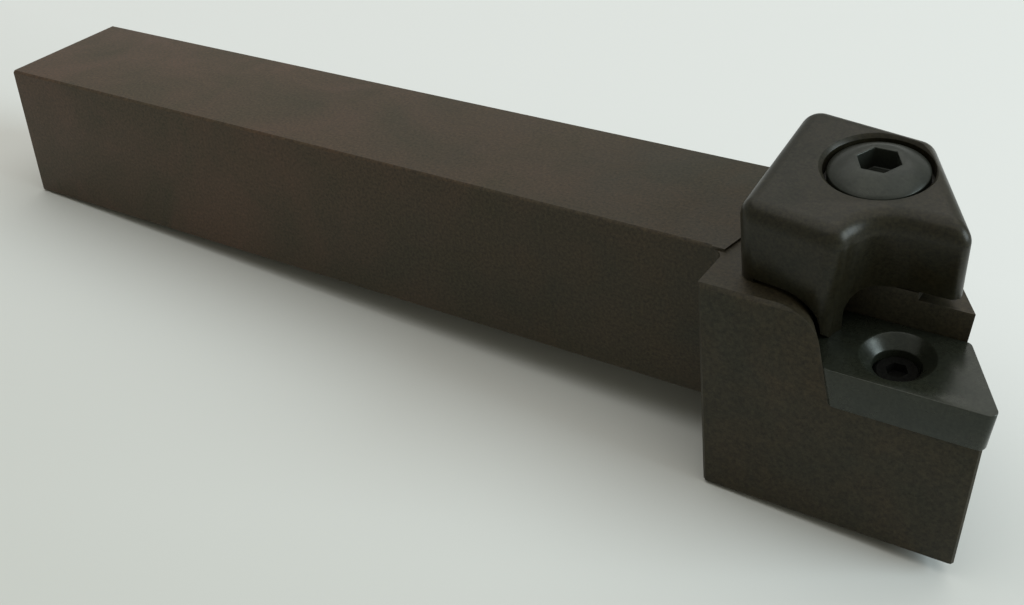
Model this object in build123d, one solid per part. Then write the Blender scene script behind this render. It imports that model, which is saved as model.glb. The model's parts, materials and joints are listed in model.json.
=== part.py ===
from build123d import *
from math import cos, radians, sin, tan
import os

# Turning tool holder with a top clamp, in millimetres.
# +X runs along the shank towards the head, -Y is the cutting side and +Z is up.
# The origin is the middle of the shank's base, the face that a tool post clamps.

# Shank
SHANK_LENGTH = 114.0
SHANK_WIDTH = 20.0
SHANK_HEIGHT = 20.0
SHANK_CHAMFER = 0.3

# Head, forged in one with the shank
HEAD_LENGTH = 30.3  # shoulder's top to the front face's top edge, along the cutting side
HEAD_OFFSET = 7.1  # cutting side beyond the shank's side
HEAD_DROP = 6.2  # head's base below the shank's base
HEAD_CHAMFER = 0.4  # along the head's outer edges
FRONT_ANGLE = 60.0  # front face to the cutting side, in plan
FRONT_RELIEF = 4.0  # front face leans back going down
SHOULDER_DRAFT = 2.7  # shoulder leans forward going down
TOP_STEP = 0.3  # head's milled top below the shank's top
TOP_STEP_ANGLE = 10.0  # the step's line leans forward from the shoulder
SHOULDER_FILLET = 1.5
LEDGE_DROP = 1.2  # flat behind the pocket, below the shank's top
LEDGE_START = 6.5  # its rear edge in front of the clamp screw
WALL_TOP_RADIUS = 4.0  # rounded top edge of the pocket's rear wall

# Seat plate: a parallelogram that leans down towards the cutting side
NOSE_ANGLE = 60.0
EDGE_LENGTH = 17.3
PLATE_WIDTH = 9.7
PLATE_THICKNESS = 4.76
END_RELIEF = 7.0  # its two ends lean in going down, and the pocket's rear wall with them
NOSE_RADIUS = 0.8
NOSE_OVERHANG_X = 1.3  # nose beyond the head's front edge
NOSE_OVERHANG_Y = 0.8  # nose beyond the head's cutting side
SEAT_HEIGHT = 14.2  # plate's nose above the shank's base
SEAT_TILT = 6.0
SEAT_BORE = 4.9
SEAT_SINK = 7.6  # mouth of the bore's countersink
SINK_DEPTH = 1.3
SEAT_STEP = 1.4  # web at the foot of the bore, which the screw holds down

# Screw that holds the seat plate, deep in its bore
SEAT_SCREW = 3.0
SEAT_SCREW_HEAD = 4.6
SEAT_SCREW_RISE = 1.5
SEAT_SCREW_GRIP = 8.0
SEAT_SCREW_SOCKET = 2.0
SEAT_SOCKET_DEPTH = 1.0
FIT_GAP = 0.05  # fixed pins and screws in their holes, on the radius
HOLE_END_GAP = 1.0  # blind holes deeper than what stands in them
POCKET_RELIEF = 0.9

# Clamp, in its own leaning frame: u along the shank, v across it, w along the screw
CLAMP_TILT = 8.0
SCREW_X = 13.9  # screw's axis from the shoulder, at the clamp's top
SCREW_Y = -4.3
CLAMP_HEIGHT = 10.5  # clamp's top above the shank's, at the screw's axis
CLAMP_GAP = 0.5  # clamp's underside above the head's top
CLAMP_REAR = 10.8  # outline from the screw's axis
CLAMP_NEAR = 11.2
CLAMP_FAR = 9.0
CLAMP_FAR_FRONT = 3.6
CLAMP_FAR_TAPER = 8.5  # lean of the far edge, in plan
CLAMP_FRONT = 12.1
CLAMP_FLARE = 8.0  # lean of the near side, in plan
CLAMP_CORNER = 2.2
CLAMP_FRONT_CORNER = 1.0
TOP_ROUND = 2.0  # round the top and along the flute's edge
HEEL_LENGTH = 2.0

# Tapered flute in the clamp's near side, and the beak that bears on the seat plate
FLUTE_U = 5.7
FLUTE_V = -12.3
FLUTE_RADIUS = 4.5
FLUTE_TAPER = 8.5
BEAK_WIDTH = 3.4  # at the underside, along the shank
BEAK_TIP_WIDTH = 2.0
BEAK_TOE = 4.8  # toe's bevel from the plate's near edge
BEAK_BACK_GAP = 0.5  # beak to the pocket's far wall
ARCH_RADIUS = 3.0

# Clamp screw with a domed head, sunk in the clamp
SCREW_DIAMETER = 6.0
SCREW_HEAD = 10.3
SCREW_HEAD_SIDE = 1.5
SCREW_DOME = 1.3
SCREW_CROWN = 5.4  # flat round the socket
SCREW_LENGTH = 18.0
SCREW_POINT = 0.6
SCREW_SOCKET = 4.0
SOCKET_DEPTH = 2.4
SCREW_HEAD_SINK = 0.6  # rim of the head below the clamp's top
HEAD_GAP = 0.45  # round the head in its counterbore
COUNTERBORE_CHAMFER = 0.4
CLAMP_BORE_GAP = 0.3
THREAD_GAP = 0.1
CLAMP_LIFT = 2.4  # travel when the screw is slackened

# Spring that lifts the clamp
SPRING_WIRE = 0.8
SPRING_TURNS = 3
SPRING_BORE_GAP = 0.35
SPRING_RECESS = 3.0  # into the head, below its top
SPRING_SPOT = 0.9  # into the clamp, above its underside
SPRING_SIDE_GAP = 0.3

# Pin that keeps the clamp square
PIN_DIAMETER = 3.0
PIN_U = -7.6
PIN_V = 1.0
PIN_IN_HEAD = 6.0
PIN_ENGAGEMENT = 3.0  # left in the clamp when it is fully lifted
PIN_GAP = 0.1
PIN_END_GAP = 0.5
PIN_CHAMFER = 0.3

# Values worked out from the above
clearance = 60.0
shoulder_x = SHANK_LENGTH / 2
near_y = -SHANK_WIDTH / 2 - HEAD_OFFSET
far_y = SHANK_WIDTH / 2
head_top = SHANK_HEIGHT - TOP_STEP
underside = head_top + CLAMP_GAP
front_x = shoulder_x + HEAD_LENGTH
nose_slope = tan(radians(NOSE_ANGLE))
nose_sine = sin(radians(NOSE_ANGLE))
nose_cosine = cos(radians(NOSE_ANGLE))
seat_sine = sin(radians(SEAT_TILT))
seat_cosine = cos(radians(SEAT_TILT))
pocket_floor = -PLATE_THICKNESS
end_inset = PLATE_THICKNESS * tan(radians(END_RELIEF)) / nose_sine

seat_plane = Plane(
    origin=(front_x + NOSE_OVERHANG_X, near_y - NOSE_OVERHANG_Y, SEAT_HEIGHT),
    x_dir=(1, 0, 0),
    z_dir=(0, -seat_sine, seat_cosine),
)
clamp_plane = Plane(
    origin=(shoulder_x + SCREW_X, SCREW_Y, SHANK_HEIGHT + CLAMP_HEIGHT),
    x_dir=(1, 0, 0),
    z_dir=(0, -sin(radians(CLAMP_TILT)), cos(radians(CLAMP_TILT))),
)
clamp_axis_run = cos(radians(CLAMP_TILT))
head_top_w = (head_top - SHANK_HEIGHT - CLAMP_HEIGHT) / clamp_axis_run
underside_w = head_top_w + CLAMP_GAP / clamp_axis_run
bearing_w = -SCREW_HEAD_SINK - SCREW_HEAD_SIDE
spring_inner = SCREW_DIAMETER / 2 + SPRING_BORE_GAP
spring_outer = spring_inner + SPRING_WIRE
recess_w = head_top_w - SPRING_RECESS
spot_w = underside_w + SPRING_SPOT
pin_above = CLAMP_LIFT + PIN_ENGAGEMENT

DOWN = (Align.CENTER, Align.CENTER, Align.MAX)
UP = (Align.CENTER, Align.CENTER, Align.MIN)


def beyond(origin, normal):
    """Everything on the outer side of a plane."""
    return Plane(origin=origin, z_dir=normal) * Box(4 * clearance, 4 * clearance, 2 * clearance, align=UP)


def space_above(level):
    """Everything above a level."""
    return beyond((0, 0, level), (0, 0, 1))


def space_ahead(start):
    """Everything in front of a line across the shank."""
    return beyond((start, 0, 0), (1, 0, 0))


def bore_place(depth=0.0):
    """The middle of the seat plate's parallelogram, at a depth below its top."""
    return Pos(-(EDGE_LENGTH + PLATE_WIDTH / nose_slope) / 2, PLATE_WIDTH / 2, -depth)


def past_end(start, side):
    """Everything past one end of the seat plate, which leans in going down."""
    lean = radians(END_RELIEF)
    across = side * cos(lean)
    return beyond((start, 0, 0), (across * nose_sine, across * nose_cosine, -sin(lean)))


def insert_seat():
    """Seat plate with a countersunk bore that has a thin web at its foot."""
    back = PLATE_WIDTH / nose_slope
    corners = [(0, 0), (-back, PLATE_WIDTH), (-EDGE_LENGTH - back, PLATE_WIDTH), (-EDGE_LENGTH, 0)]
    outline = Polygon(*corners, align=None)
    body = extrude(outline, -PLATE_THICKNESS) - past_end(0, 1) - past_end(-EDGE_LENGTH, -1)
    body = fillet(body.edges().filter_by(lambda e: abs((e % 0.5).Z) > nose_sine), NOSE_RADIUS)
    body -= bore_place() * Cone(SEAT_BORE / 2, SEAT_SINK / 2, SINK_DEPTH, align=DOWN)
    body -= bore_place() * Cylinder(SEAT_BORE / 2, PLATE_THICKNESS - SEAT_STEP, align=DOWN)
    return seat_plane * (body - bore_place() * Cylinder(SEAT_SCREW / 2 + FIT_GAP, clearance))


def hex_prism(across_flats, depth):
    """Hexagon socket cutter, downwards from its mouth."""
    return extrude(RegularPolygon(across_flats / 2, 6, major_radius=False), -depth)


def seat_screw():
    """Small socket screw whose head stands on the web in the seat plate's bore."""
    head = Cylinder(SEAT_SCREW_HEAD / 2, SEAT_SCREW_RISE, align=UP)
    head = chamfer(head.edges().group_by(Axis.Z)[-1], SCREW_POINT / 2)
    socket = Pos(0, 0, SEAT_SCREW_RISE) * hex_prism(SEAT_SCREW_SOCKET, SEAT_SOCKET_DEPTH)
    stem = Cylinder(SEAT_SCREW / 2, SEAT_STEP + SEAT_SCREW_GRIP, align=DOWN)
    stem = chamfer(stem.edges().group_by(Axis.Z)[0], SCREW_POINT / 2)
    return seat_plane * bore_place(PLATE_THICKNESS - SEAT_STEP) * (head - socket + stem)


def plan_prism(points, bottom, top):
    """A plan outline, extruded between two heights."""
    return Pos(0, 0, bottom) * extrude(Polygon(*points, align=None), top - bottom)


def head_block():
    """The head's block with its drafted shoulder and relieved front face."""
    run = (far_y - near_y) / tan(radians(FRONT_ANGLE))
    long_x = front_x + HEAD_LENGTH
    plan = [(0, near_y), (long_x, near_y), (long_x - run, far_y), (0, far_y)]
    block = plan_prism(plan, -HEAD_DROP, SHANK_HEIGHT)
    draft = radians(SHOULDER_DRAFT)
    block -= beyond((shoulder_x, 0, SHANK_HEIGHT), (-cos(draft), 0, -sin(draft)))
    relief = tan(radians(FRONT_RELIEF)) * sin(radians(FRONT_ANGLE))
    front = (sin(radians(FRONT_ANGLE)), cos(radians(FRONT_ANGLE)), -relief)
    block -= beyond((front_x, near_y, SEAT_HEIGHT - PLATE_THICKNESS), front)
    near_sides = block.faces().sort_by(Axis.Y)[0].edges().sort_by(Axis.Z)[1:3]
    return chamfer(near_sides + block.faces().sort_by(Axis.Z)[0].edges(), HEAD_CHAMFER)


def forged_head():
    """Head and the shank's end in one, filleted in the corner between them, and the milled top."""
    shank_side = -SHANK_WIDTH / 2
    neck = Box(
        SHOULDER_FILLET + HEAD_DROP, SHANK_WIDTH, SHANK_HEIGHT, align=(Align.MIN, Align.CENTER, Align.MIN)
    )
    body = head_block() + Pos(shoulder_x - SHOULDER_FILLET) * neck
    corner = (shoulder_x + SHANK_HEIGHT * tan(radians(SHOULDER_DRAFT)), shank_side, 0)
    shoulder = body.faces().filter_by(GeomType.PLANE).sort_by_distance(corner)
    shoulder = shoulder.filter_by(lambda f: f.normal_at().X < -0.9)[0]
    body = fillet(shoulder.edges().sort_by_distance(corner)[:2], SHOULDER_FILLET)
    lean = tan(radians(TOP_STEP_ANGLE))
    top_plan = [
        (shoulder_x - clearance, shank_side - clearance),
        (shoulder_x + clearance, shank_side - clearance),
        (shoulder_x + clearance, shank_side + clearance),
        (shoulder_x + clearance * lean, shank_side + clearance),
        (shoulder_x, shank_side),
        (shoulder_x - clearance, shank_side),
    ]
    body -= plan_prism(top_plan, head_top, SHANK_HEIGHT + 1)
    low_top = body.faces().filter_by(Axis.Z).sort_by(Axis.Z)[-2]
    near_top = low_top.edges().filter_by(Axis.X).sort_by(Axis.Y)[0]
    return chamfer(near_top, HEAD_CHAMFER)


def head():
    """Head with its pocket; the rear wall is rounded over at the top, the far wall is low."""
    block = forged_head()
    behind = seat_plane * past_end(-EDGE_LENGTH, -1)
    low_part = behind & Pos(0, 0, head_top) * Box(4 * clearance, 4 * clearance, clearance, align=DOWN)
    top = low_part.faces().filter_by(Axis.Z).sort_by(Axis.Z)[-1]
    low_part = fillet(top.edges().sort_by_distance(seat_plane.origin)[0], WALL_TOP_RADIUS)
    rear = block & (low_part + (behind & space_above(head_top)))
    ledge = space_ahead(shoulder_x + SCREW_X + LEDGE_START) & space_above(SHANK_HEIGHT - LEDGE_DROP)
    far = (block & seat_plane * beyond((0, PLATE_WIDTH, 0), (0, 1, 0))) - ledge
    floor = block & seat_plane * beyond((0, 0, pocket_floor), (0, 0, -1))
    corner_x = -EDGE_LENGTH - PLATE_WIDTH / nose_slope + end_inset
    corner = seat_plane * Pos(corner_x, PLATE_WIDTH, pocket_floor)
    return rear + far + floor - corner * Cylinder(POCKET_RELIEF, clearance, align=UP)


def shank():
    """Square shank; its bevelled edges stop short of the shoulder."""
    body = Box(
        SHANK_LENGTH - SHOULDER_FILLET, SHANK_WIDTH, SHANK_HEIGHT, align=(Align.MIN, Align.CENTER, Align.MIN)
    )
    edges = body.edges().filter_by(Axis.X) + body.faces().sort_by(Axis.X)[0].edges()
    return Pos(-SHANK_LENGTH / 2) * chamfer(edges, SHANK_CHAMFER)


def axis_cutter(radius, top_w, bottom_w):
    """A round cutter about the clamp screw's axis, between two levels."""
    return clamp_plane * Pos(0, 0, bottom_w) * Cylinder(radius, top_w - bottom_w, align=UP)


def holder_body():
    """Shank and head in one piece, with the holes for the screws, spring and pin."""
    body = shank() + head()
    seat_hole = Cylinder(SEAT_SCREW / 2 + FIT_GAP, SEAT_SCREW_GRIP + HOLE_END_GAP, align=DOWN)
    body -= seat_plane * bore_place(PLATE_THICKNESS) * seat_hole
    body -= axis_cutter(SCREW_DIAMETER / 2 + THREAD_GAP, 0, bearing_w - SCREW_LENGTH - HOLE_END_GAP)
    body -= axis_cutter(spring_outer + SPRING_SIDE_GAP, 0, recess_w)
    return body - pin_place() * Cylinder(PIN_DIAMETER / 2 + FIT_GAP, PIN_IN_HEAD + pin_above, align=UP)


def pin_place():
    """The foot of the guide pin, in the head."""
    return clamp_plane * Pos(PIN_U, PIN_V, head_top_w - PIN_IN_HEAD)


def clamp_plan():
    """The clamp's outline seen along its screw; its near side steps in at the front."""
    step_v = -CLAMP_NEAR - (FLUTE_U + CLAMP_REAR) * tan(radians(CLAMP_FLARE))
    recess_v = FLUTE_V + FLUTE_RADIUS
    far_front_v = CLAMP_FAR - (CLAMP_FAR_FRONT + CLAMP_REAR) * tan(radians(CLAMP_FAR_TAPER))
    corners = [
        (-CLAMP_REAR, -CLAMP_NEAR),
        (FLUTE_U, step_v),
        (FLUTE_U, recess_v),
        (CLAMP_FRONT, recess_v),
        (CLAMP_FAR_FRONT, far_front_v),
        (-CLAMP_REAR, CLAMP_FAR),
    ]
    plan = Polygon(*corners, align=None)
    return fillet(plan.vertices().sort_by(Axis.X)[:3], CLAMP_CORNER)


def clamp_block():
    """The clamp from above: outline, tapered flute with its leaning recess, and rounded top."""
    depth = CLAMP_HEIGHT + SHANK_HEIGHT - SEAT_HEIGHT + HEAD_OFFSET
    taper = radians(FLUTE_TAPER)
    body = extrude(clamp_plan(), -depth)
    foot = FLUTE_RADIUS + depth * tan(taper)
    body -= Pos(FLUTE_U, FLUTE_V, 0) * Cone(foot, FLUTE_RADIUS, depth, align=DOWN)
    recess = beyond((FLUTE_U, FLUTE_V + FLUTE_RADIUS, 0), (0, -cos(taper), -sin(taper)))
    body -= recess & space_ahead(FLUTE_U)
    low_edges = body.edges().filter_by(lambda e: e.center().Z < -TOP_ROUND)
    front_edge = low_edges.sort_by_distance((CLAMP_FRONT, FLUTE_V + FLUTE_RADIUS, 0))[0]
    body = fillet(front_edge, CLAMP_FRONT_CORNER)
    flute_edge = body.edges().filter_by(GeomType.HYPERBOLA).sort_by(Axis.X)[:1]
    top_edges = body.faces().sort_by(Axis.Z)[-1].edges()
    return clamp_plane * fillet(top_edges + flute_edge, TOP_ROUND)


def beak_space():
    """The tapered beak, parallel to the pocket's rear wall and wrapped over its rounded top."""
    foot = SEAT_HEIGHT - PLATE_THICKNESS
    lean = seat_sine / nose_slope + tan(radians(END_RELIEF)) * seat_cosine / nose_sine
    foot_inset = end_inset - (NOSE_OVERHANG_Y - PLATE_THICKNESS * seat_sine) / nose_slope
    left_foot = seat_plane.origin.X - EDGE_LENGTH + foot_inset + CLAMP_GAP / nose_sine
    left = left_foot - (underside - foot) * lean
    wrap = WALL_TOP_RADIUS + CLAMP_GAP
    corners = [
        (left - 2 * wrap, underside),
        (left, underside),
        (left_foot, foot),
        (left_foot + BEAK_TIP_WIDTH, foot),
        (left + BEAK_WIDTH, underside),
        (left + BEAK_WIDTH + 2 * ARCH_RADIUS, underside),
        (left + BEAK_WIDTH + 2 * ARCH_RADIUS, underside + wrap),
        (left - 2 * wrap, underside + wrap),
    ]
    profile = Polygon(*corners, align=None)
    inner = profile.vertices().sort_by_distance((left, underside))[0]
    profile = fillet(inner, wrap)
    arch = profile.vertices().sort_by_distance((left + BEAK_WIDTH, underside))[0]
    profile = Plane.XZ.offset(-near_y) * fillet(arch, ARCH_RADIUS)
    along = extrude(profile, clearance, dir=(-nose_cosine, nose_sine, 0), both=True)
    far_wall = beyond((0, PLATE_WIDTH - BEAK_BACK_GAP, 0), (0, 1, 0))
    toe = beyond((0, BEAK_TOE, 0), (0, -1, -1))
    return along & seat_plane * (space_above(0) - far_wall - toe)


def clamp():
    """Clamp with a heel behind, a beak in front and a counterbored hole for its screw."""
    block = clamp_block()
    heel = clamp_plane * Pos(-CLAMP_REAR, 0, 0) * Box(
        HEEL_LENGTH, clearance, clearance, align=(Align.MIN, Align.CENTER, Align.CENTER)
    )
    body = (block & space_above(underside)) + (block & space_above(head_top) & heel)
    body += block & beak_space()
    bore = SCREW_HEAD / 2 + HEAD_GAP
    body -= axis_cutter(bore, 0, bearing_w)
    body -= clamp_plane * Cone(bore, bore + COUNTERBORE_CHAMFER, COUNTERBORE_CHAMFER, align=DOWN)
    body -= axis_cutter(SCREW_DIAMETER / 2 + CLAMP_BORE_GAP, bearing_w, spot_w)
    body -= axis_cutter(spring_outer + SPRING_SIDE_GAP, spot_w, head_top_w - CLAMP_GAP)
    pin_hole = Cylinder(PIN_DIAMETER / 2 + PIN_GAP, PIN_IN_HEAD + pin_above + PIN_END_GAP, align=UP)
    return body - pin_place() * pin_hole


def clamp_screw():
    """Domed socket screw: its rim stands in the counterbore, its stem in the head's thread."""
    rim = SCREW_HEAD / 2
    crown = SCREW_CROWN / 2
    centre = (crown * crown + SCREW_DOME * SCREW_DOME - rim * rim) / (2 * SCREW_DOME)
    dome = Pos(0, 0, centre) * Sphere((rim * rim + centre * centre) ** 0.5)
    head = Cylinder(rim, SCREW_HEAD_SIDE + SCREW_DOME, align=UP)
    head = Pos(0, 0, -SCREW_HEAD_SIDE) * head & dome
    mouth = Pos(0, 0, SCREW_DOME) * hex_prism(SCREW_SOCKET, SOCKET_DEPTH)
    stem = Cylinder(SCREW_DIAMETER / 2, SCREW_LENGTH, align=DOWN)
    stem = chamfer(stem.edges().group_by(Axis.Z)[0], SCREW_POINT)
    body = head - mouth + Pos(0, 0, -SCREW_HEAD_SIDE) * stem
    return clamp_plane * Pos(0, 0, -SCREW_HEAD_SINK) * body


def clamp_spring():
    """Square-wire coil round the screw, between the head's recess and the clamp."""
    mean = spring_inner + SPRING_WIRE / 2
    height = spot_w - recess_w - SPRING_WIRE
    path = Helix(height / SPRING_TURNS, height, mean)
    section = Plane(path @ 0, x_dir=(1, 0, 0), z_dir=path % 0) * Rectangle(SPRING_WIRE, SPRING_WIRE)
    return clamp_plane * Pos(0, 0, recess_w + SPRING_WIRE / 2) * sweep(section, path, is_frenet=True)


def guide_pin():
    """Pin that stands in the head and guides the clamp as it lifts."""
    body = Cylinder(PIN_DIAMETER / 2, PIN_IN_HEAD + pin_above, align=UP)
    return pin_place() * chamfer(body.edges().filter_by(GeomType.CIRCLE), PIN_CHAMFER)


if __name__ == "__main__":
    os.makedirs("parts", exist_ok=True)
    export_step(holder_body(), "parts/holder_body.step")
    export_step(insert_seat(), "parts/insert_seat.step")
    export_step(seat_screw(), "parts/seat_screw.step")
    export_step(clamp(), "parts/clamp.step")
    export_step(clamp_screw(), "parts/clamp_screw.step")
    export_step(clamp_spring(), "parts/clamp_spring.step")
    export_step(guide_pin(), "parts/guide_pin.step")
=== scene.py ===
import json
from math import cos, pi, radians, sin

import bpy
from mathutils import Matrix, Vector


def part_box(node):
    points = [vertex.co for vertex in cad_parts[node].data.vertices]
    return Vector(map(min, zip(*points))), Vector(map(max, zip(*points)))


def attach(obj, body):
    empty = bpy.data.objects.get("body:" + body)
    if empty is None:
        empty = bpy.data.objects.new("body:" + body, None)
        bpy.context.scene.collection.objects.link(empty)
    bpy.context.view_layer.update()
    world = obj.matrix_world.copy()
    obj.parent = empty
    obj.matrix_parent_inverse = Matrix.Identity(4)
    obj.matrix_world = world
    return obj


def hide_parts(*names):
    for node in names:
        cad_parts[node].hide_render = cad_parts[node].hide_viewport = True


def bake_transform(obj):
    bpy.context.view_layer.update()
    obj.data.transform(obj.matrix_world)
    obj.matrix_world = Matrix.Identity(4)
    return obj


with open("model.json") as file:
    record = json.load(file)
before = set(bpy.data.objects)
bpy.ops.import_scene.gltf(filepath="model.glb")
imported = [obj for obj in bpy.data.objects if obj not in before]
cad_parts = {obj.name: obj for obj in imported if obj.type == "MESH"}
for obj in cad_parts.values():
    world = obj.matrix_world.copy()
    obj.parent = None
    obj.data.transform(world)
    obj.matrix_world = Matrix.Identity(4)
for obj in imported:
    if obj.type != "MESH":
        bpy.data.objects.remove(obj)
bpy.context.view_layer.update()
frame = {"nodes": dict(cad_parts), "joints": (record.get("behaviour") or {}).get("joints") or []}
bpy.ops.object.select_all(action="DESELECT")

MM = 0.001

# The clamp's axis leans to the cutting side; it passes through the clamp's top here.
screw_joint = next(joint for joint in frame["joints"] if joint["name"] == "screw_turn")
clamp_axis = Vector(screw_joint["axis"]).normalized()
clamp_top = Vector(screw_joint["pos_m"])
clamp_lean = Vector((0, 0, 1)).rotation_difference(clamp_axis).to_matrix().to_4x4()
clamp_frame = Matrix.Translation(clamp_top) @ clamp_lean


# ---------------------------------------------------------------- modelling helpers

MERGE_DISTANCE = 0.0005 * MM
SEAM_ANGLE = 0.4  # degrees; a flatter edge only divides a flat face
SHARP_ANGLE = 24  # degrees; a sharper edge is rounded over
ROUNDING_SEGMENTS = 3
SMOOTH_ANGLE = 32  # degrees
WINDING_STEPS = 36  # to a turn


def activate(piece):
    """Make one object the only selected and active one."""
    bpy.ops.object.select_all(action="DESELECT")
    piece.select_set(True)
    bpy.context.view_layer.objects.active = piece


def edit_whole(piece):
    """Open one object in edit mode with its whole mesh selected."""
    activate(piece)
    bpy.ops.object.mode_set(mode="EDIT")
    bpy.ops.mesh.select_all(action="SELECT")


def apply_modifiers(piece):
    """Apply every modifier, first to last."""
    activate(piece)
    for modifier in list(piece.modifiers):
        bpy.ops.object.modifier_apply(modifier=modifier.name)


def softened(node, width):
    """A copy of a CAD node with its sharp edges rounded over."""
    source = frame["nodes"][node]
    piece = bpy.data.objects.new(node + "_finished", source.data.copy())
    bpy.context.scene.collection.objects.link(piece)
    piece.data.materials.clear()
    activate(piece)
    bpy.ops.mesh.customdata_custom_splitnormals_clear()
    edit_whole(piece)
    bpy.ops.mesh.remove_doubles(threshold=MERGE_DISTANCE)
    bpy.ops.mesh.dissolve_limited(angle_limit=radians(SEAM_ANGLE))
    bpy.ops.object.mode_set(mode="OBJECT")
    bevel = piece.modifiers.new("Rounded edges", "BEVEL")
    bevel.width = width
    bevel.segments = ROUNDING_SEGMENTS
    bevel.limit_method = "ANGLE"
    bevel.angle_limit = radians(SHARP_ANGLE)
    bevel.harden_normals = False
    apply_modifiers(piece)
    bpy.ops.object.shade_smooth_by_angle(angle=radians(SMOOTH_ANGLE))
    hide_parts(node)
    return piece


def wound(name, section, pitch, turns, start):
    """Wind a closed section, given as (radius, height) pairs, round the local Z axis."""
    bpy.ops.mesh.primitive_circle_add(vertices=len(section), radius=1, location=(0, 0, 0))
    piece = bpy.context.object
    piece.name = name
    for vertex, (radius, height) in zip(piece.data.vertices, section):
        vertex.co = (radius, 0, start + height)
    winding = piece.modifiers.new("Winding", "SCREW")
    winding.axis = "Z"
    winding.screw_offset = pitch
    winding.iterations = turns
    winding.steps = WINDING_STEPS
    winding.render_steps = WINDING_STEPS
    winding.use_smooth_shade = True
    apply_modifiers(piece)
    return piece


def cut_flat(piece, height, keep_above):
    """Cut a wound piece straight across its axis at a height and keep one side."""
    edit_whole(piece)
    bpy.ops.mesh.bisect(
        plane_co=(0, 0, height), plane_no=(0, 0, 1), use_fill=True,
        clear_inner=keep_above, clear_outer=not keep_above,
    )
    bpy.ops.object.mode_set(mode="OBJECT")


def closed_outwards(piece):
    """Fill the holes at the ends of a wound piece and turn its faces outwards."""
    edit_whole(piece)
    bpy.ops.mesh.remove_doubles(threshold=MERGE_DISTANCE)
    bpy.ops.mesh.fill_holes(sides=0)
    bpy.ops.mesh.normals_make_consistent(inside=False)
    bpy.ops.object.mode_set(mode="OBJECT")


# ---------------------------------------------------------------- shader helpers

# The Mix node's sockets for colour, by place, because its names repeat for each kind of value.
MIX_FACTOR, MIX_FIRST, MIX_SECOND, MIX_RESULT = 0, 6, 7, 2


def group(name, inputs, outputs):
    """A new shader node group with named inputs, their values, and named outputs."""
    tree = bpy.data.node_groups.new(name, "ShaderNodeTree")
    for label, value in inputs.items():
        kind = "NodeSocketColor" if isinstance(value, tuple) else "NodeSocketFloat"
        socket = tree.interface.new_socket(label, in_out="INPUT", socket_type=kind)
        socket.default_value = value
    for label, kind in outputs.items():
        tree.interface.new_socket(label, in_out="OUTPUT", socket_type=kind)
    return tree, tree.nodes.new("NodeGroupInput"), tree.nodes.new("NodeGroupOutput")


def use(tree, inner, **values):
    """Place a group in a material with its own values; _ stands for a space in a name."""
    node = tree.nodes.new("ShaderNodeGroup")
    node.node_tree = inner
    for key, value in values.items():
        node.inputs[key.replace("_", " ")].default_value = value
    return node


def add(tree, kind, **values):
    """Add a shader node; each keyword sets a property of it, or else an input."""
    node = tree.nodes.new("ShaderNode" + kind)
    for key, value in values.items():
        if hasattr(node, key):
            setattr(node, key, value)
        else:
            node.inputs[key].default_value = value
    return node


def feed(tree, socket, value):
    """Set an input to a plain value, or link an output to it."""
    if isinstance(value, (int, float, tuple)):
        socket.default_value = value
    else:
        tree.links.new(value, socket)


def maths(tree, operation, first, second, clamp=False):
    """A Math node on sockets or plain numbers."""
    node = add(tree, "Math", operation=operation, use_clamp=clamp)
    feed(tree, node.inputs[0], first)
    feed(tree, node.inputs[1], second)
    return node.outputs[0]


def mixed(tree, factor, first, second, blend="MIX"):
    """Mix two colours by a factor."""
    node = add(tree, "Mix", data_type="RGBA", blend_type=blend)
    feed(tree, node.inputs[MIX_FACTOR], factor)
    feed(tree, node.inputs[MIX_FIRST], first)
    feed(tree, node.inputs[MIX_SECOND], second)
    return node.outputs[MIX_RESULT]


def ranged(tree, value, low, high, to_low=0.0, to_high=1.0):
    """Map a value from one range to another, clamped."""
    node = add(tree, "MapRange")
    for socket, number in zip(node.inputs, (value, low, high, to_low, to_high)):
        feed(tree, socket, number)
    return node.outputs[0]


# ---------------------------------------------------------------- shader groups


def edge_wear_group():
    """Mask of the edges where the dark finish has rubbed thin."""
    tree, inside, outside = group(
        "Rubbed edges",
        {"Width": 0.4 * MM, "Breakup": 900.0, "Amount": 0.5},
        {"Mask": "NodeSocketFloat"},
    )
    link = tree.links.new
    bevel = add(tree, "Bevel", samples=4)
    link(inside.outputs["Width"], bevel.inputs["Radius"])
    surface = add(tree, "NewGeometry")
    alignment = add(tree, "VectorMath", operation="DOT_PRODUCT")
    link(bevel.outputs["Normal"], alignment.inputs[0])
    link(surface.outputs["Normal"], alignment.inputs[1])
    flat, fully_turned = 0.995, 0.80
    edge = ranged(tree, alignment.outputs["Value"], flat, fully_turned)
    place = add(tree, "TexCoord")
    noise = add(tree, "TexNoise", Detail=4.0, Roughness=0.65)
    link(place.outputs["Object"], noise.inputs["Vector"])
    link(inside.outputs["Breakup"], noise.inputs["Scale"])
    broken = ranged(tree, noise.outputs[0], 0.35, 0.65)
    mask = maths(tree, "MULTIPLY", edge, broken)
    amount = inside.outputs["Amount"]
    link(maths(tree, "MULTIPLY", mask, amount, clamp=True), outside.inputs["Mask"])
    return tree


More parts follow.
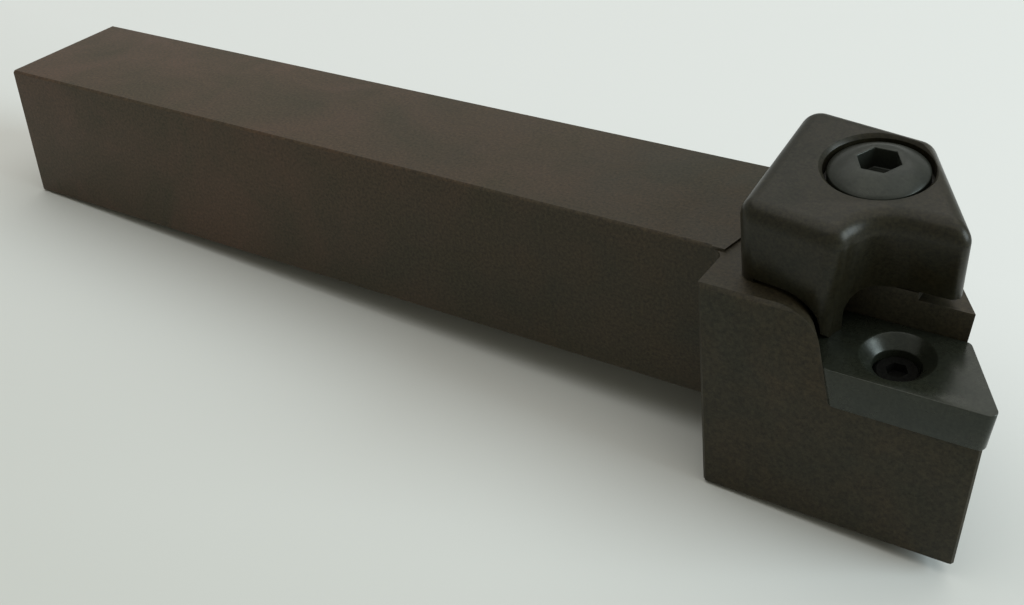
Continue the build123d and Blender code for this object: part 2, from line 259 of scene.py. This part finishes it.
def blotch_group():
    """Cloudy change between two tones of an oxide finish, with fine specks over it."""
    tree, inside, outside = group(
        "Oxide blotches",
        {
            "Tone A": (0.05, 0.04, 0.03, 1),
            "Tone B": (0.06, 0.06, 0.05, 1),
            "Cloud Scale": 60.0,
            "Speck Scale": 2600.0,
            "Specks": 0.3,
        },
        {"Color": "NodeSocketColor", "Cloud": "NodeSocketFloat"},
    )
    link = tree.links.new
    place = add(tree, "TexCoord")
    cloud = add(tree, "TexNoise", Detail=5.0, Roughness=0.6, Distortion=0.6)
    speck = add(tree, "TexNoise", Detail=3.0, Roughness=0.7)
    for texture, scale in ((cloud, "Cloud Scale"), (speck, "Speck Scale")):
        link(place.outputs["Object"], texture.inputs["Vector"])
        link(inside.outputs[scale], texture.inputs["Scale"])
    soft = ranged(tree, cloud.outputs[0], 0.34, 0.66)
    tone = mixed(tree, soft, inside.outputs["Tone A"], inside.outputs["Tone B"])

    # The specks lighten and darken the tone about its own level.
    speck_contrast = 3.0
    spread = maths(tree, "SUBTRACT", speck.outputs[0], 0.5)
    strength = maths(tree, "MULTIPLY", inside.outputs["Specks"], speck_contrast)
    factor = maths(tree, "ADD", maths(tree, "MULTIPLY", spread, strength), 1.0)
    grey = add(tree, "CombineColor")
    for socket in grey.inputs:
        link(factor, socket)
    link(mixed(tree, 1.0, tone, grey.outputs[0], "MULTIPLY"), outside.inputs["Color"])
    link(soft, outside.inputs["Cloud"])
    return tree


def grain_group():
    """Height of a fine surface grain: fine pits over a slow ripple."""
    tree, inside, outside = group(
        "Fine grain",
        {"Fine Scale": 2500.0, "Slow Scale": 300.0},
        {"Height": "NodeSocketFloat"},
    )
    link = tree.links.new
    place = add(tree, "TexCoord")
    fine = add(tree, "TexNoise", Detail=5.0, Roughness=0.7)
    slow = add(tree, "TexNoise", Detail=2.0, Roughness=0.5)
    for texture, scale in ((fine, "Fine Scale"), (slow, "Slow Scale")):
        link(place.outputs["Object"], texture.inputs["Vector"])
        link(inside.outputs[scale], texture.inputs["Scale"])
    pits = maths(tree, "MULTIPLY", fine.outputs[0], 0.6)
    ripple = maths(tree, "MULTIPLY", slow.outputs[0], 0.4)
    link(maths(tree, "ADD", pits, ripple), outside.inputs["Height"])
    return tree


rubbed_edges = edge_wear_group()
oxide_blotches = blotch_group()
fine_grain = grain_group()


# ---------------------------------------------------------------- materials

GRAIN_DEPTH = 0.03 * MM
ROUGHNESS_FALL = 0.05


def new_material(name):
    """An empty material and its Principled shader."""
    material = bpy.data.materials.new(name)
    material.use_nodes = True
    return material, material.node_tree, material.node_tree.nodes["Principled BSDF"]


def blotches(tree, tones, cloud, specks):
    """The oxide's two tones, clouded and specked, placed in a material."""
    tone_a, tone_b = tones
    return use(
        tree, oxide_blotches,
        Tone_A=(*tone_a, 1), Tone_B=(*tone_b, 1), Cloud_Scale=cloud, Specks=specks,
    )


def rubbed(tree, tone, worn, width, amount):
    """A tone that is rubbed to a lighter one along the edges."""
    edges = use(tree, rubbed_edges, Width=width * MM, Amount=amount)
    return mixed(tree, edges.outputs["Mask"], tone, (*worn, 1))


def satin(tree, shader, colour, cloud, rough, rise, metallic, shine, bump):
    """Feed a shader: its colour, a roughness that follows the clouds, and the fine grain."""
    link = tree.links.new
    link(colour, shader.inputs["Base Color"])
    roughness = ranged(tree, cloud, 0, 1, rough - ROUGHNESS_FALL, rough + rise)
    link(roughness, shader.inputs["Roughness"])
    shader.inputs["Metallic"].default_value = metallic
    shader.inputs["Specular IOR Level"].default_value = shine
    grain = use(tree, fine_grain)
    height = add(tree, "Bump", Strength=bump, Distance=GRAIN_DEPTH)
    link(grain.outputs["Height"], height.inputs["Height"])
    link(height.outputs["Normal"], shader.inputs["Normal"])


def oxide_steel(
    name, tones, worn, rough, bump, cloud, wear, metallic,
    wear_width=0.35, shine=0.3, specks=0.8,
):
    """Blackened steel: cloudy oxide, rubbed edges, fine grain."""
    material, tree, shader = new_material(name)
    oxide = blotches(tree, tones, cloud, specks)
    colour = rubbed(tree, oxide.outputs["Color"], worn, wear_width, wear)
    satin(tree, shader, colour, oxide.outputs["Cloud"], rough, 0.06, metallic, shine, bump)
    return material


# The shank's oxide turns from brown to grey along its length, between these two places.
BROWN_END_X = -25 * MM
GREY_END_X = 62 * MM
PATCH_REACH = 70 * MM  # how far a patch moves the change along the shank


def browned_steel(name, rear_tones, head_tones, worn, rough, bump):
    """The holder's oxide: browner and blotchier at the rear of the shank, greyer at the head."""
    material, tree, shader = new_material(name)
    link = tree.links.new
    rear = blotches(tree, rear_tones, cloud=70.0, specks=0.8)
    head = blotches(tree, head_tones, cloud=110.0, specks=0.8)
    place = add(tree, "TexCoord")
    along = add(tree, "SeparateXYZ")
    link(place.outputs["Object"], along.inputs[0])
    patches = add(tree, "TexNoise", Scale=45.0, Detail=3.0)
    link(place.outputs["Object"], patches.inputs["Vector"])
    patch = maths(tree, "SUBTRACT", patches.outputs[0], 0.5)
    drift = maths(tree, "MULTIPLY", patch, PATCH_REACH)
    drifted = maths(tree, "ADD", along.outputs["X"], drift)
    greying = ranged(tree, drifted, BROWN_END_X, GREY_END_X)
    tone = mixed(tree, greying, rear.outputs["Color"], head.outputs["Color"])
    colour = rubbed(tree, tone, worn, width=0.3, amount=0.25)
    satin(
        tree, shader, colour, rear.outputs["Cloud"],
        rough, rise=0.07, metallic=0.2, shine=0.3, bump=bump,
    )
    return material


def dress(piece, material):
    """Give a piece one material."""
    piece.data.materials.clear()
    piece.data.materials.append(material)


holder_finish = browned_steel(
    "Blackened holder steel",
    rear_tones=((0.070, 0.040, 0.021), (0.050, 0.040, 0.022)),
    head_tones=((0.036, 0.027, 0.014), (0.026, 0.024, 0.014)),
    worn=(0.12, 0.11, 0.09), rough=0.50, bump=0.35,
)
clamp_finish = oxide_steel(
    "Cast clamp steel",
    tones=((0.020, 0.017, 0.009), (0.016, 0.0155, 0.009)),
    worn=(0.07, 0.07, 0.065), rough=0.34, bump=0.4,
    cloud=140.0, wear=0.2, metallic=0.15, shine=0.23,
)
screw_finish = oxide_steel(
    "Phosphated screw steel",
    tones=((0.028, 0.031, 0.024), (0.023, 0.026, 0.021)),
    worn=(0.12, 0.13, 0.12), rough=0.32, bump=0.25,
    cloud=260.0, wear=0.35, metallic=0.4, wear_width=0.25, shine=0.35, specks=0.35,
)
# Painted shade: the seat screw is coloured almost black and dull so that its hole reads as dark
# shade; this is not the screw's own colour.
shade_black_seat_screw_finish = oxide_steel(
    "Seat screw steel, painted shade",
    tones=((0.008, 0.008, 0.007), (0.006, 0.006, 0.005)),
    worn=(0.02, 0.02, 0.02), rough=0.65, bump=0.2,
    cloud=260.0, wear=0.1, metallic=0.1, shine=0.08,
)
carbide_finish = oxide_steel(
    "Ground carbide",
    tones=((0.026, 0.029, 0.020), (0.021, 0.025, 0.018)),
    worn=(0.10, 0.11, 0.10), rough=0.28, bump=0.1,
    cloud=220.0, wear=0.3, metallic=0.3, wear_width=0.2, shine=0.42, specks=0.5,
)
spring_finish = oxide_steel(
    "Drawn steel",
    tones=((0.10, 0.10, 0.09), (0.08, 0.08, 0.075)),
    worn=(0.2, 0.2, 0.2), rough=0.35, bump=0.2,
    cloud=300.0, wear=0.6, metallic=0.8,
)


# ---------------------------------------------------------------- pieces

holder = softened("holder_body", 0.22 * MM)
dress(holder, holder_finish)
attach(holder, "holder")

seat = softened("insert_seat", 0.12 * MM)
dress(seat, carbide_finish)
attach(seat, "holder")

clamp = softened("clamp", 0.18 * MM)
dress(clamp, clamp_finish)
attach(clamp, "clamp_arm")

# The M6 thread is cut up the stem as a helical groove, from past the point to under the clamp.
STEM_RADIUS = 3.0 * MM
THREAD_PITCH = 1.0 * MM
THREAD_ROOT = 2.40 * MM
THREAD_START = -20.6 * MM
THREAD_TURNS = 12
GROOVE_OVERCUT = 0.07 * MM  # past the stem's surface
GROOVE_HALF_MOUTH = 0.46 * MM
GROOVE_HALF_ROOT = 0.07 * MM
SLIVER = 0.002 * MM  # what the cut leaves shorter than this is merged


def groove_section():
    """The groove's cross-section: narrow at the thread's root, wide past the stem's surface."""
    outer = STEM_RADIUS + GROOVE_OVERCUT
    return [
        (outer, -GROOVE_HALF_MOUTH), (THREAD_ROOT, -GROOVE_HALF_ROOT),
        (THREAD_ROOT, GROOVE_HALF_ROOT), (outer, GROOVE_HALF_MOUTH),
    ]


def threaded(piece):
    """Cut the thread into the clamp screw's stem."""
    groove = wound("thread_groove", groove_section(), THREAD_PITCH, THREAD_TURNS, THREAD_START)
    closed_outwards(groove)
    groove.data.transform(clamp_frame)
    cut = piece.modifiers.new("Thread", "BOOLEAN")
    cut.operation = "DIFFERENCE"
    cut.solver = "EXACT"
    cut.object = groove
    apply_modifiers(piece)
    bpy.data.objects.remove(groove)
    edit_whole(piece)
    bpy.ops.mesh.remove_doubles(threshold=SLIVER)
    bpy.ops.mesh.dissolve_degenerate(threshold=SLIVER)
    bpy.ops.object.mode_set(mode="OBJECT")
    bpy.ops.object.shade_smooth_by_angle(angle=radians(SMOOTH_ANGLE))


screw = softened("clamp_screw", 0.12 * MM)
threaded(screw)
dress(screw, screw_finish)
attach(screw, "screw")

# Round-wire coil with its ends cut flat, standing in the head's recess under the clamp.
WIRE_RADIUS = 0.4 * MM
WIRE_SIDES = 12
COIL_RADIUS = 3.75 * MM
COIL_PITCH = 1.2 * MM
COIL_TURNS = 5  # before the ends are cut
COIL_RUNOUT = 0.45 * MM  # wound below the foot, and cut off
COIL_FOOT = -13.905 * MM
COIL_TOP = -9.502 * MM
COIL_SMOOTH_ANGLE = 50  # degrees


def wire_section():
    """The round wire's cross-section at the coil's radius."""
    turns = [step * pi / (WIRE_SIDES / 2) for step in range(WIRE_SIDES)]
    return [(COIL_RADIUS + WIRE_RADIUS * cos(turn), WIRE_RADIUS * sin(turn)) for turn in turns]


coil = wound(
    "clamp_spring_coil", wire_section(), COIL_PITCH, COIL_TURNS, COIL_FOOT - COIL_RUNOUT
)
cut_flat(coil, COIL_FOOT, keep_above=True)
cut_flat(coil, COIL_TOP, keep_above=False)
closed_outwards(coil)
coil.data.transform(clamp_frame)
bpy.ops.object.shade_smooth_by_angle(angle=radians(COIL_SMOOTH_ANGLE))
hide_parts("clamp_spring")
dress(coil, spring_finish)
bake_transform(coil)

# The seat screw takes the painted-shade finish; the guide pin takes drawn steel.
for node, material in (("seat_screw", shade_black_seat_screw_finish), ("guide_pin", spring_finish)):
    slots = frame["nodes"][node].data.materials
    for index in range(len(slots)):
        slots[index] = material


# ---------------------------------------------------------------- floor, light and camera

# The holder rests on the rear edge of its shank and the rear edge of its dropped head.
SHOULDER_X = 58.6 * MM
holder_low = Vector(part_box("holder_body")[0])
floor_tilt = (0 - holder_low.z) / (SHOULDER_X - holder_low.x)
FLOOR_SIZE = 2.8
# The floor's painted shade runs from its darkest at the near depth to its lightest at the far depth.
FLOOR_NEAR_Y = -90 * MM
FLOOR_FAR_Y = 40 * MM


def pale_floor():
    """A wide pale floor, tangent to the two edges that the holder rests on, with painted shade that
    darkens it towards the near side.
    """
    bpy.ops.mesh.primitive_plane_add(size=FLOOR_SIZE, location=(0, 0, 0))
    floor = bpy.context.object
    floor.name = "floor"
    turn = Matrix.Rotation(floor_tilt, 4, "Y")
    floor.data.transform(Matrix.Translation((holder_low.x, 0, 0)) @ turn)
    material, tree, shader = new_material("Pale floor with painted shade")
    place = add(tree, "TexCoord")
    across = add(tree, "SeparateXYZ")
    tree.links.new(place.outputs["Object"], across.inputs[0])
    # Painted shade: the floor's colour darkens towards the near side, standing in for light that
    # falls off.
    lighter = ranged(tree, across.outputs["Y"], FLOOR_NEAR_Y, FLOOR_FAR_Y)
    shade = mixed(tree, lighter, (0.60, 0.62, 0.585, 1), (0.77, 0.795, 0.785, 1))
    tree.links.new(shade, shader.inputs["Base Color"])
    shader.inputs["Roughness"].default_value = 0.9
    shader.inputs["Specular IOR Level"].default_value = 0.1
    floor.data.materials.append(material)


def area_light(name, place, aim, size, power, colour):
    """A square soft light aimed at a point."""
    lamp = bpy.data.lights.new(name, "AREA")
    lamp.size = size
    lamp.energy = power
    lamp.color = colour
    stand = bpy.data.objects.new(name, lamp)
    bpy.context.scene.collection.objects.link(stand)
    stand.location = place
    stand.rotation_euler = (Vector(aim) - Vector(place)).to_track_quat("-Z", "Y").to_euler()


def pale_room(soft, seen):
    """A world that lights softly and warmly, and is pale where the camera or a reflection sees it."""
    world = bpy.data.worlds.new("Pale room")
    world.use_nodes = True
    tree = world.node_tree
    path = add(tree, "LightPath")
    rays = maths(tree, "MAXIMUM", path.outputs["Is Camera Ray"], path.outputs["Is Glossy Ray"])
    rays = maths(tree, "MAXIMUM", rays, path.outputs["Is Transmission Ray"])
    colour = mixed(tree, rays, (*soft, 1), (*seen, 1))
    tree.links.new(colour, tree.nodes["Background"].inputs["Color"])
    bpy.context.scene.world = world


def studio():
    """Pale surroundings, a broad soft light overhead, a cooler window at the right."""
    pale_room(soft=(0.26, 0.25, 0.205), seen=(0.43, 0.44, 0.42))
    area_light(
        "ceiling", place=(-0.06, 0.20, 1.12), aim=(0.03, 0, 0),
        size=1.8, power=11.2, colour=(1.0, 0.985, 0.975),
    )
    area_light(
        "window", place=(0.97, 0.20, 0.43), aim=(0.06, 0, 0.01),
        size=0.55, power=7.5, colour=(0.80, 0.93, 1.0),
    )


CAMERA_PLACE = (0.1052, -0.1226, 0.0927)
CAMERA_TURN = (59.78, 3.02, 32.01)  # degrees
CAMERA_LENS = 46.5
CAMERA_SENSOR = 36.0
CAMERA_SHIFT_Y = -0.061
CAMERA_NEAR = 0.005


def camera():
    """The camera looks down along the holder from the cutting side, in front of the clamp."""
    lens = bpy.data.cameras.new("camera")
    lens.lens = CAMERA_LENS
    lens.sensor_width = CAMERA_SENSOR
    lens.shift_y = CAMERA_SHIFT_Y
    lens.clip_start = CAMERA_NEAR
    view = bpy.data.objects.new("camera", lens)
    bpy.context.scene.collection.objects.link(view)
    view.location = CAMERA_PLACE
    view.rotation_euler = tuple(radians(angle) for angle in CAMERA_TURN)
    bpy.context.scene.camera = view


pale_floor()
studio()
camera()
bpy.context.scene.view_settings.view_transform = "Standard"
